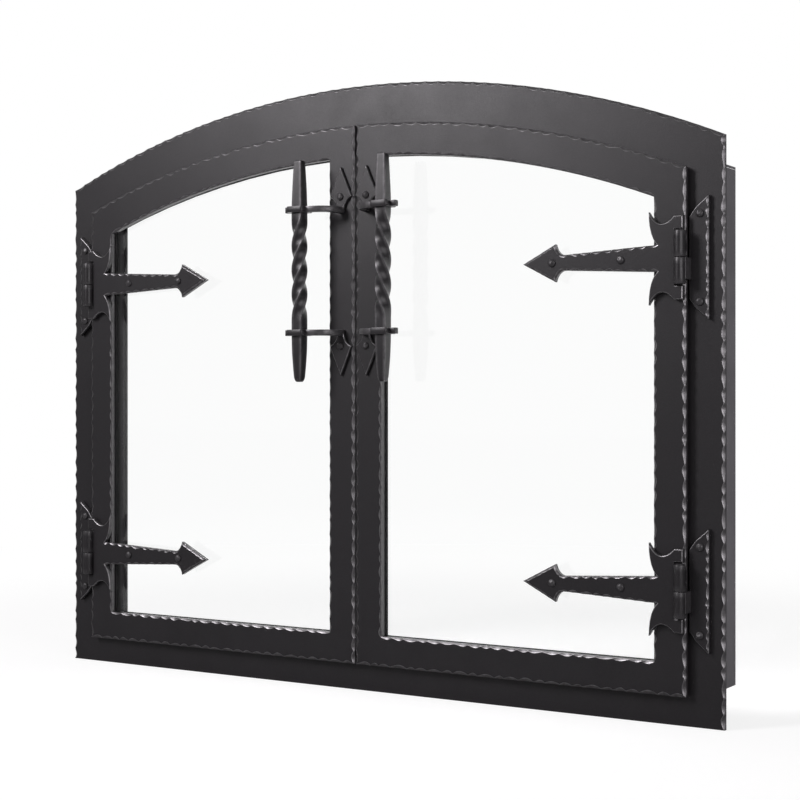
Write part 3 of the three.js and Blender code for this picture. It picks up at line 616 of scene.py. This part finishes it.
def build_door_frame(side):
    rng = random.Random(21 if side == "left" else 22)
    outer = arched_sides(DOOR_INNER, DOOR_OUTER, DOOR_BOTTOM, DOOR_DROP, 0, ("hammered",) * 4, rng)
    window = arched_sides(
        DOOR_INNER + MEETING_STILE, DOOR_OUTER - HINGE_STILE, DOOR_BOTTOM + BOTTOM_RAIL, 0,
        DOOR_DROP + TOP_RAIL, ("chased",) * 4, rng,
    )
    built = plate(outer, [window], DOOR_FRONT, DOOR_BACK)
    built.place(side)
    make_object(
        f"{side}_door_hammered", built, plate_steel, f"{side}_door", f"{side}_door_frame",
    )


# ---------------------------------------------------------------------------- hinges

# Chamfer of the barrels with the point on its bulge, the band at their ends that is burnished with a painted
# highlight, and how strongly
BARREL_EASE, BARREL_BULGE, BARREL_BAND, BARREL_BURNISH_HIGHLIGHT = 1.1, (0.3, 0.35), 1.2, 0.12
# Web and tab blocks are burnished all over, lighter partly as a painted highlight.
BLOCK_EASE, BLOCK_BURNISH_HIGHLIGHT = 0.6, 0.15
# Rivet domes are burnished near the top, lighter partly as a painted highlight; their rims barely.
RIVET_BURNISH_HIGHLIGHT, RIVET_RIM_BURNISH_HIGHLIGHT, RIVET_BURNISH_HIGHLIGHT_FROM = 0.12, 0.02, 0.35
RIVET_DENTS, DENT_TILT, DENT_COSINE, DENT_DEPTH = 5, (0.2, 1.0), 0.86, 0.35


def knuckle(builder, bottom, top, seed):
    radius = BARREL_DIAMETER / 2
    bore = PIN_DIAMETER / 2 + SEAT
    inward, along = BARREL_BULGE
    profile = [
        (bore, bottom), (radius - BARREL_EASE, bottom), (radius - inward, bottom + along),
        (radius, bottom + BARREL_EASE), (radius, (bottom * 3 + top) / 4), (radius, (bottom + top) / 2),
        (radius, (bottom + top * 3) / 4), (radius, top - BARREL_EASE), (radius - inward, top - along),
        (radius - BARREL_EASE, top), (bore, top), (bore, bottom),
    ]
    verts, faces = lathe(profile, 40, (AXIS_X, AXIS_Y, 0), 0.18, seed)
    burnish_and_highlight = [BARREL_BURNISH_HIGHLIGHT if min(abs(v[2] - bottom), abs(v[2] - top)) < BARREL_BAND else 0.0 for v in verts]
    builder.add(verts, faces, crisp(verts, faces, 40), burnish_and_highlight)


def block(builder, corner_low, corner_high):
    """Box with eased edges, for a web or tab."""
    (x0, y0, z0), (x1, y1, z1) = corner_low, corner_high
    verts = []
    for z, inset in ((z0, BLOCK_EASE), (z0 + BLOCK_EASE, 0), (z1 - BLOCK_EASE, 0), (z1, BLOCK_EASE)):
        for x, y, sx, sy in ((x0, y0, 1, 1), (x1, y0, -1, 1), (x1, y1, -1, -1), (x0, y1, 1, -1)):
            verts.append((x + sx * (BLOCK_EASE + inset), y + sy * inset, z))
            verts.append((x + sx * inset, y + sy * (BLOCK_EASE + inset), z))
    order = [1, 0, 2, 3, 5, 4, 6, 7]
    ring = len(order)
    faces = []
    for layer in range(3):
        for a, b in zip(order, order[1:] + order[:1]):
            a, b = a + layer * ring, b + layer * ring
            faces.append((a, b, b + ring, a + ring))
    faces.append(tuple(reversed(order)))
    faces.append(tuple(3 * ring + index for index in order))
    builder.add(verts, faces, crisp(verts, faces, 30), [BLOCK_BURNISH_HIGHLIGHT] * len(verts))


def build_strap(side, level):
    """Fishtail plate, strap and spear, drawn from the axis to the door's middle, with web and knuckle."""
    rng = random.Random(seed_of(side + level))
    reach = REACH[side]
    barb = reach - SPEAR
    neck = barb - SPEAR_NECK
    slope = bezier([(SHOULDER, SHOULDER_HALF), (DIP - DIP_FLOW, DIP_HALF), (DIP, DIP_HALF)], 10)
    scoop = bezier([(DIP, DIP_HALF), (DIP + DIP_FLOW, DIP_HALF), (HORN, HORN_HALF)], 12)
    horn = bezier([(HORN, HORN_HALF), (HORN, ROOT_HALF + HORN_CURL), (ROOT, ROOT_HALF)], 16)
    swell = (neck + SPEAR_NECK * FLARE_SHARE, NECK_HALF + FLARE_SWELL)
    flare = bezier([(neck, NECK_HALF), swell, (barb, BARB_HALF)], 8)
    upper = [
        ([(-OVERHANG, SHOULDER_HALF), (SHOULDER, SHOULDER_HALF)], "eased"),
        (slope + scoop[1:], "eased"),
        (horn, "eased"),
        ([(ROOT, ROOT_HALF), (neck, NECK_HALF)], "dressed"),
        (flare, "bevelled"),
        ([(barb, BARB_HALF), (reach, 0)], "bevelled"),
    ]
    lower = [([(x, -z) for x, z in reversed(points)], finish) for points, finish in reversed(upper)]
    notch_x = BARREL_DIAMETER / 2 + NOTCH_CLEAR
    notch_top = BARREL_HEIGHT / 2 + PIN_HEAD_HEIGHT + SEAT + NOTCH_CLEAR
    notch_bottom = -BARREL_HEIGHT / 2 - NOTCH_CLEAR
    edge = [
        ([(-OVERHANG, -SHOULDER_HALF), (-OVERHANG, notch_bottom)], "eased"),
        ([(-OVERHANG, notch_bottom), (notch_x, notch_bottom)], "eased"),
        ([(notch_x, notch_bottom), (notch_x, notch_top)], "plain"),
        ([(notch_x, notch_top), (-OVERHANG, notch_top)], "eased"),
        ([(-OVERHANG, notch_top), (-OVERHANG, SHOULDER_HALF)], "eased"),
    ]
    sides = [
        Side([(AXIS_X - x, z) for x, z in points], finish, rng, FORGED_STEP)
        for points, finish in upper + lower + edge
    ]
    built = plate(sides, [], LEAF_FRONT, LEAF_BACK)
    block(
        built, (AXIS_X - notch_x - WEB_INTO_LEAF, LEAF_FRONT + WEB_BEHIND_FRONT, BARREL_SPLIT / 2),
        (AXIS_X - WEB_INTO_BARREL, LEAF_BACK - WEB_BEFORE_BACK, BARREL_HEIGHT / 2),
    )
    knuckle(built, BARREL_SPLIT / 2, BARREL_HEIGHT / 2, rng.uniform(0, 50))
    built.place(side, HINGES[level])
    make_object(
        f"{side}_{level}_strap_forged", built, forged_steel, f"{side}_door", f"{side}_{level}_strap",
    )


def build_frame_leaf(side, level):
    rng = random.Random(seed_of(level + side))
    bend = FRAME_LEAF_IN + FRAME_LEAF_BEND
    shoulder = [
        (FRAME_LEAF_OUT, FRAME_LEAF_TIP), (bend, FRAME_LEAF_BEND_HALF), (FRAME_LEAF_IN, FRAME_LEAF_HALF),
    ]
    lines = (
        ([(FRAME_LEAF_OUT, -FRAME_LEAF_TIP), (FRAME_LEAF_OUT, FRAME_LEAF_TIP)], "dressed"),
        (shoulder, "eased"),
        ([(FRAME_LEAF_IN, FRAME_LEAF_HALF), (FRAME_LEAF_IN, -FRAME_LEAF_HALF)], "eased"),
        ([(x, -z) for x, z in reversed(shoulder)], "eased"),
    )
    sides = [Side(points, finish, rng, FORGED_STEP) for points, finish in lines]
    built = plate(sides, [], FRAME_LEAF_FRONT, FRAME_LEAF_BACK)
    left = DOOR_OUTER + TAB_CLEAR
    top = -BARREL_SPLIT / 2
    block(built, (left, AXIS_Y - TAB_LEAD, top - TAB_HEIGHT), (left + TAB_THICK, FRAME_LEAF_BACK, top))
    knuckle(built, -BARREL_HEIGHT / 2, top, rng.uniform(0, 50))
    built.place(side, HINGES[level])
    make_object(
        f"{side}_{level}_frame_leaf_forged", built, forged_steel, "frame", f"{side}_{level}_frame_leaf",
    )


def build_pin(side, level):
    radius, head = PIN_DIAMETER / 2, PIN_HEAD / 2
    foot, seat = -BARREL_HEIGHT / 2, BARREL_HEIGHT / 2 + SEAT
    profile = [
        (0, foot), (radius - PIN_EASE, foot), (radius, foot + PIN_EASE), (radius, seat), (head, seat),
        (head, seat + PIN_HEAD_RIM), *dome(head, seat + PIN_HEAD_RIM, PIN_HEAD_HEIGHT - PIN_HEAD_RIM, 6),
    ]
    verts, faces = lathe(profile, 32, (AXIS_X, AXIS_Y, 0), 0.1, 3)
    built = Builder()
    built.add(verts, faces, crisp(verts, faces, 40), [BARREL_BURNISH_HIGHLIGHT if v[2] > seat else 0.0 for v in verts])
    built.place(side, HINGES[level])
    make_object(
        f"{side}_{level}_pin_turned", built, forged_steel, "frame", f"{side}_{level}_hinge_pin",
    )


def build_rivet(name, x, z, seat, shank_length, side, body):
    """Rivet with a hammered dome, turned so that its head looks forward."""
    rng = random.Random(seed_of(name))
    radius = RIVET_HEAD / 2
    profile = [
        (0, -shank_length), (RIVET_SHANK_RADIUS, -shank_length), (RIVET_SHANK_RADIUS, 0), (radius - 0.15, 0),
        (radius, RIVET_RIM), *dome(radius, RIVET_RIM, RIVET_HIGH - RIVET_RIM, 8),
    ]
    verts, faces = lathe(profile, 28, (0, 0, 0))
    dents = []
    for _ in range(RIVET_DENTS):
        angle, tilt = rng.uniform(0, 2 * math.pi), rng.uniform(*DENT_TILT)
        dents.append(Vector((
            math.cos(angle) * math.sin(tilt), math.sin(angle) * math.sin(tilt), math.cos(tilt),
        )))
    placed, burnish_and_highlight = [], []
    for v in verts:
        p = Vector(v)
        if p.z > RIVET_RIM + 0.05:
            way = Vector((p.x / radius, p.y / radius, p.z / RIVET_HIGH)).normalized()
            for dent in dents:
                near = max(0.0, way.dot(dent) - DENT_COSINE) / (1 - DENT_COSINE)
                p -= way * DENT_DEPTH * near
        placed.append((x + p.x, seat - p.z, z + p.y))
        burnish_and_highlight.append(RIVET_BURNISH_HIGHLIGHT if p.z > RIVET_HIGH * RIVET_BURNISH_HIGHLIGHT_FROM else RIVET_RIM_BURNISH_HIGHLIGHT)
    built = Builder()
    built.add(placed, faces, crisp(placed, faces, 50), burnish_and_highlight)
    built.place(side)
    make_object(f"{name}_domed", built, forged_steel, body, name)


# ---------------------------------------------------------------------------- handles

BAR_STEP = 1.6
BAR_TOP_ROWS = ((0, 1.2), (0.4, 0.45), (1.3, 0.0))
BAR_PLAIN_FROM = 3
BAR_TIP_SHARES = (0.8, 0.6, 0.4, 0.25, 0.12, 0.04, 0.0)
# Bar corners are burnished, lighter partly as a painted highlight.
BAR_CORNER_BURNISH_HIGHLIGHT = 0.32
BAR_LUMP, BAR_LUMP_GROWTH, BAR_LUMP_ACROSS, BAR_LUMP_ALONG = 0.16, 0.1, 0.12, 0.05
# Slab rims are burnished, lighter partly as a painted highlight; their faces barely.
SLAB_EASE, SLAB_BURNISH_HIGHLIGHT, SLAB_FACE_BURNISH_HIGHLIGHT = 0.7, 0.28, 0.02
SHARPEST_MITRE = 0.35


def twist_at(z):
    """Turn of the bar at a height, easing in and out at the ends of the twist."""
    progress = min(max((TWIST_START - z) / TWIST_RUN, 0), 1)
    start = max(0, TWIST_EASE - progress)
    end = max(0, progress - 1 + TWIST_EASE)
    eased = progress - TWIST_EASE / 2 + (start ** 2 - end ** 2) / (2 * TWIST_EASE)
    return eased / (1 - TWIST_EASE) * TWIST_QUARTERS * math.pi / 2


def bar_side(z):
    above = max(0, (z - EYES["upper"]) / (HANDLE_TOP - EYES["upper"]))
    below = max(0, (EYES["lower"] - z) / (EYES["lower"] - HANDLE_BOTTOM))
    top_loss = (BAR - BAR_TOP_END) * above ** BAR_TOP_CURVE
    bottom_loss = (BAR - BAR_BOTTOM_END) * below ** BAR_BOTTOM_CURVE
    return BAR - top_loss - bottom_loss


def bar_section(half):
    """Square with rounded corners, as (across, forward, worked)."""
    ease = min(BAR_EASE, half * 0.4)
    section = []
    for corner in range(4):
        cos, sin = math.cos(corner * math.pi / 2), math.sin(corner * math.pi / 2)
        for step in range(5):
            angle = step / 4 * math.pi / 2
            px, py = half - ease + ease * math.cos(angle), half - ease + ease * math.sin(angle)
            section.append((px * cos - py * sin, px * sin + py * cos, BAR_CORNER_BURNISH_HIGHLIGHT))
        for step in (0.25, 0.5, 0.75):
            px = (half - ease) * (1 - 2 * step)
            section.append((px * cos - half * sin, px * sin + half * cos, 0.0))
    return section


def build_handle(side):
    rows = [(HANDLE_TOP - down, shrink) for down, shrink in BAR_TOP_ROWS]
    z = HANDLE_TOP - BAR_PLAIN_FROM
    while z > HANDLE_BOTTOM + BAR_TIP:
        rows.append((z, 0.0))
        z -= BAR_STEP
    for share in BAR_TIP_SHARES:
        rows.append((HANDLE_BOTTOM + BAR_TIP * share, BAR_TIP_ROUND * (1 - math.sqrt(1 - (1 - share) ** 2))))
    verts, burnish_and_highlight = [], []
    for z, shrink in rows:
        turn = twist_at(z)
        for u, v, amount in bar_section(bar_side(z) / 2 - shrink):
            place = Vector((u * BAR_LUMP_ACROSS, v * BAR_LUMP_ACROSS, z * BAR_LUMP_ALONG))
            grow = 1 + BAR_LUMP * noise.noise(place) * BAR_LUMP_GROWTH
            u, v = u * grow, v * grow
            verts.append((
                HANDLE_INSET + u * math.cos(turn) - v * math.sin(turn),
                HANDLE_Y + u * math.sin(turn) + v * math.cos(turn), z,
            ))
            burnish_and_highlight.append(amount)
    ring = len(verts) // len(rows)
    faces = walls([ring], len(rows))
    faces.append(tuple(range(ring)))
    faces.append(tuple(reversed(range(len(verts) - ring, len(verts)))))
    built = Builder()
    built.add(verts, faces, crisp(verts, faces, 55), burnish_and_highlight)
    built.place(side)
    make_object(
        f"{side}_handle_twisted", built, forged_steel, f"{side}_door", f"{side}_handle",
    )


def slab(builder, loops, bottom, top, ease=SLAB_EASE):
    """Flat shape in plan with eased rims, from an outer loop and holes, each anticlockwise from above."""
    counts = [len(loop) for loop in loops]
    total = sum(counts)
    rows = (
        (top, ease), (top - ease * 0.3, ease * 0.3), (top - ease, 0),
        (bottom + ease, 0), (bottom + ease * 0.3, ease * 0.3), (bottom, ease),
    )
    verts = []
    for z, inset in rows:
        for ring, loop in enumerate(loops):
            way = 1 if ring == 0 else -1
            for index, point in enumerate(loop):
                before, after = Vector(loop[index - 1]), Vector(loop[(index + 1) % len(loop)])
                here = Vector(point)
                na, nb = across_of((here - before).normalized()), across_of((after - here).normalized())
                mean = (na + nb).normalized()
                place = here + mean * (inset * way / max(SHARPEST_MITRE, mean.dot(na)))
                verts.append((place.x, place.y, z))
    faces = walls(counts, len(rows))
    for layer, turned in ((0, False), (len(rows) - 1, True)):
        start = layer * total
        faces += cap([(x, y) for x, y, _ in verts[start:start + total]], counts, start, turned)
    burnish_and_highlight = [SLAB_BURNISH_HIGHLIGHT if min(abs(v[2] - top), abs(v[2] - bottom)) < ease else SLAB_FACE_BURNISH_HIGHLIGHT for v in verts]
    builder.add(verts, faces, crisp(verts, faces, 32), burnish_and_highlight)


def rounded(x0, x1, y0, y1, ease):
    """Rectangle with rounded corners."""
    corners = (
        (x1 - ease, y0 + ease, -90), (x1 - ease, y1 - ease, 0),
        (x0 + ease, y1 - ease, 90), (x0 + ease, y0 + ease, 180),
    )
    loop = []
    for cx, cy, start in corners:
        for step in range(5):
            angle = math.radians(start + step * 22.5)
            loop.append((cx + ease * math.cos(angle), cy + ease * math.sin(angle)))
    return loop


def square(half, ease):
    return rounded(HANDLE_INSET - half, HANDLE_INSET + half, HANDLE_Y - half, HANDLE_Y + half, ease)


def arm(back, arm_end):
    """Outline in plan of the bent arm from the spade to the eye."""
    spine = bezier([
        Vector((SPADE_INSET, back - 1)), Vector((SPADE_INSET, back - ARM_BEND)),
        Vector((arm_end - ARM_BEND, HANDLE_Y)), Vector((arm_end, HANDLE_Y)),
    ], 24)
    last = len(spine) - 1
    near, far = [], []
    for index, point in enumerate(spine):
        here = Vector(point)
        before, after = Vector(spine[max(0, index - 1)]), Vector(spine[min(last, index + 1)])
        half = SPADE_NECK + (ARM_WIDTH / 2 - SPADE_NECK) * index / last
        aside = across_of((after - before).normalized()) * half
        near.append(tuple(here - aside))
        far.insert(0, tuple(here + aside))
    return near + far


def build_bracket(side, level):
    """Upper bracket of the right handle with its spade upward; the others are mirrored or upside down."""
    rng = random.Random(seed_of("spade" + side + level))
    back = DOOR_FRONT - SEAT
    bottom, top = -EYE_HEIGHT / 2, EYE_HEIGHT / 2
    neck_pull = (SPADE_NECK, SPADE_WIDEST * SPADE_NECK_SHARE)
    waist = bezier([(SPADE_NECK, bottom), neck_pull, (SPADE_HALF, SPADE_WIDEST)], 14)
    right = [(SPADE_INSET + x, z) for x, z in waist]
    left = [(SPADE_INSET - x, z) for x, z in reversed(waist)]
    tip = (SPADE_INSET, SPADE_TIP)
    lines = (
        (right, "eased"), ([right[-1], tip], "eased"), ([tip, left[0]], "eased"), (left, "eased"),
        ([left[-1], right[0]], "plain"),
    )
    sides = [Side(points, finish, rng, FORGED_STEP) for points, finish in lines]
    built = plate(sides, [], back - SPADE_THICK, back)
    bore = BAR / 2 + SEAT
    slab(built, [square(bore + EYE_WALL, EYE_CORNER), square(bore, BORE_CORNER)], bottom, top)
    tail = rounded(
        HANDLE_INSET + bore + 1, HANDLE_INSET + TAIL, HANDLE_Y - ARM_WIDTH / 2, HANDLE_Y + ARM_WIDTH / 2,
        TAIL_CORNER,
    )
    slab(built, [tail], bottom + TAIL_THINNER, top - TAIL_THINNER)
    slab(built, [arm(back, HANDLE_INSET - bore - EYE_WALL / 2)], bottom, top, ARM_EASE)
    built.place(side, EYES[level], 1 if level == "upper" else -1)
    make_object(
        f"{side}_{level}_bracket_forged", built, forged_steel, f"{side}_door", f"{side}_{level}_bracket",
    )


# ---------------------------------------------------------------------------- build

build_faceplate()
for side in ("left", "right"):
    build_door_frame(side)
    build_handle(side)
    for level, height in HINGES.items():
        build_strap(side, level)
        build_frame_leaf(side, level)
        build_pin(side, level)
        for end, way in (("top", 1), ("bottom", -1)):
            build_rivet(
                f"{side}_{level}_frame_rivet_{end}", FRAME_LEAF_OUT - FRAME_RIVET_INSET,
                height + way * FRAME_RIVET_HALF, FRAME_LEAF_FRONT, LEAF_THICK, side, "frame",
            )
        for end, reach in STRAP_RIVETS.items():
            build_rivet(
                f"{side}_{level}_strap_rivet_{end}", AXIS_X - reach, height, LEAF_FRONT, LEAF_THICK, side,
                f"{side}_door",
            )
    for level, height in EYES.items():
        build_bracket(side, level)
        way = 1 if level == "upper" else -1
        build_rivet(
            f"{side}_{level}_bracket_rivet", SPADE_INSET, height + way * SPADE_WIDEST,
            DOOR_FRONT - SEAT - SPADE_THICK, SPADE_THICK, side, f"{side}_door",
        )

# Pieces that keep the solids' own meshes and only take a material
carried = {f"liner_{piece}": sheet_steel for piece in ("sill", "arch", "left", "right")}
carried["catch_bracket"] = hidden_steel
for side in ("left", "right"):
    carried[f"catch_magnet_{side}"] = magnet_case
    carried[f"{side}_gasket"] = gasket
    carried[f"{side}_glass"] = glass
    carried[f"{side}_glass_retainer"] = hidden_steel
for node, material in carried.items():
    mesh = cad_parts[node].data
    mesh.materials.clear()
    mesh.materials.append(material)


# ---------------------------------------------------------------------------- stage, light and camera

FLOOR_HALF, FLOOR_HEIGHT = 14, -0.0005
FADE_FROM, FADE_TO = 0.9, 2.4
FLOOR_SEEN, FLOOR_LIT = 0.8, 0.36
GLOW_SHARE, GLOW_STRENGTH = 0.62, 1.3
WORLD_SEEN, WORLD_LIT = 1.0, 0.2


def seen_directly(tree):
    """1 for rays that come from the camera, straight or through the glass, and 0 for the others."""
    path = tree.nodes.new("ShaderNodeLightPath")
    either = calculate(tree, "MAXIMUM", path.outputs["Is Camera Ray"], path.outputs["Is Transmission Ray"])
    return either.outputs["Value"]


def pale(name):
    """Pale floor: near white to the camera, with the set's shadow near it, and plain white far from it."""
    material, tree = new_material(name)
    tree.nodes.remove(tree.nodes["Principled BSDF"])
    seen = seen_directly(tree)
    measure = tree.nodes.new("ShaderNodeVectorMath")
    measure.operation = "LENGTH"
    distance = feed(tree, measure, {0: object_place(tree)}).outputs["Value"]
    strength, glow_share = (
        spread(tree, distance, near, 1.0, FADE_FROM, FADE_TO, "SMOOTHSTEP")
        for near in (GLOW_STRENGTH, GLOW_SHARE)
    )
    matte = feed(tree, tree.nodes.new("ShaderNodeBsdfDiffuse"), {
        "Color": spread(tree, seen, FLOOR_LIT, FLOOR_SEEN),
    })
    glow = feed(tree, tree.nodes.new("ShaderNodeEmission"), {"Color": (1, 1, 1, 1), "Strength": strength})
    share = calculate(tree, "MULTIPLY", seen, glow_share).outputs["Value"]
    surface = blend_shaders(tree, share, matte.outputs["BSDF"], glow.outputs["Emission"])
    feed(tree, tree.nodes["Material Output"], {"Surface": surface})
    return material


def area_light(name, place, target, size, power):
    data = bpy.data.lights.new(name, "AREA")
    data.shape = "RECTANGLE"
    data.size, data.size_y = size
    data.energy = power
    data.color = (1.0, 0.965, 1.0)
    lamp = bpy.data.objects.new(name, data)
    lamp.location = place
    lamp.rotation_euler = (Vector(target) - Vector(place)).to_track_quat("-Z", "Y").to_euler()
    bpy.context.scene.collection.objects.link(lamp)


floor_corners = [
    (x * FLOOR_HALF, y * FLOOR_HALF, FLOOR_HEIGHT) for x, y in ((-1, -1), (1, -1), (1, 1), (-1, 1))
]
floor_mesh = bpy.data.meshes.new("floor")
floor_mesh.from_pydata(floor_corners, [], [(0, 1, 2, 3)])
floor_mesh.materials.append(pale("floor_pale"))
floor = bpy.data.objects.new("floor", floor_mesh)
bpy.context.scene.collection.objects.link(floor)

world = bpy.data.worlds.new("studio")
bpy.context.scene.world = world
world.use_nodes = True
sky = world.node_tree
feed(sky, sky.nodes["Background"], {
    "Color": (1, 1, 1, 1),
    "Strength": spread(sky, seen_directly(sky), WORLD_LIT, WORLD_SEEN),
})

area_light("key", (-1.5, -2.45, 2.15), (0, 0, 0.6), (0.9, 1.6), 66)
area_light("side", (2.5, -1.7, 1.05), (0.2, 0, 0.45), (1.9, 1.6), 27)

CAMERA_YAW = 31.81
camera_data = bpy.data.cameras.new("camera")
camera_data.lens = 74.25
camera_data.sensor_width = 36
camera_data.shift_y = -0.0049
camera = bpy.data.objects.new("camera", camera_data)
camera.location = (1.3103, -2.0061, 0.4261)
camera.rotation_euler = (math.pi / 2, 0, math.radians(CAMERA_YAW))
bpy.context.scene.collection.objects.link(camera)
bpy.context.scene.camera = camera
bpy.context.scene.view_settings.view_transform = "Standard"
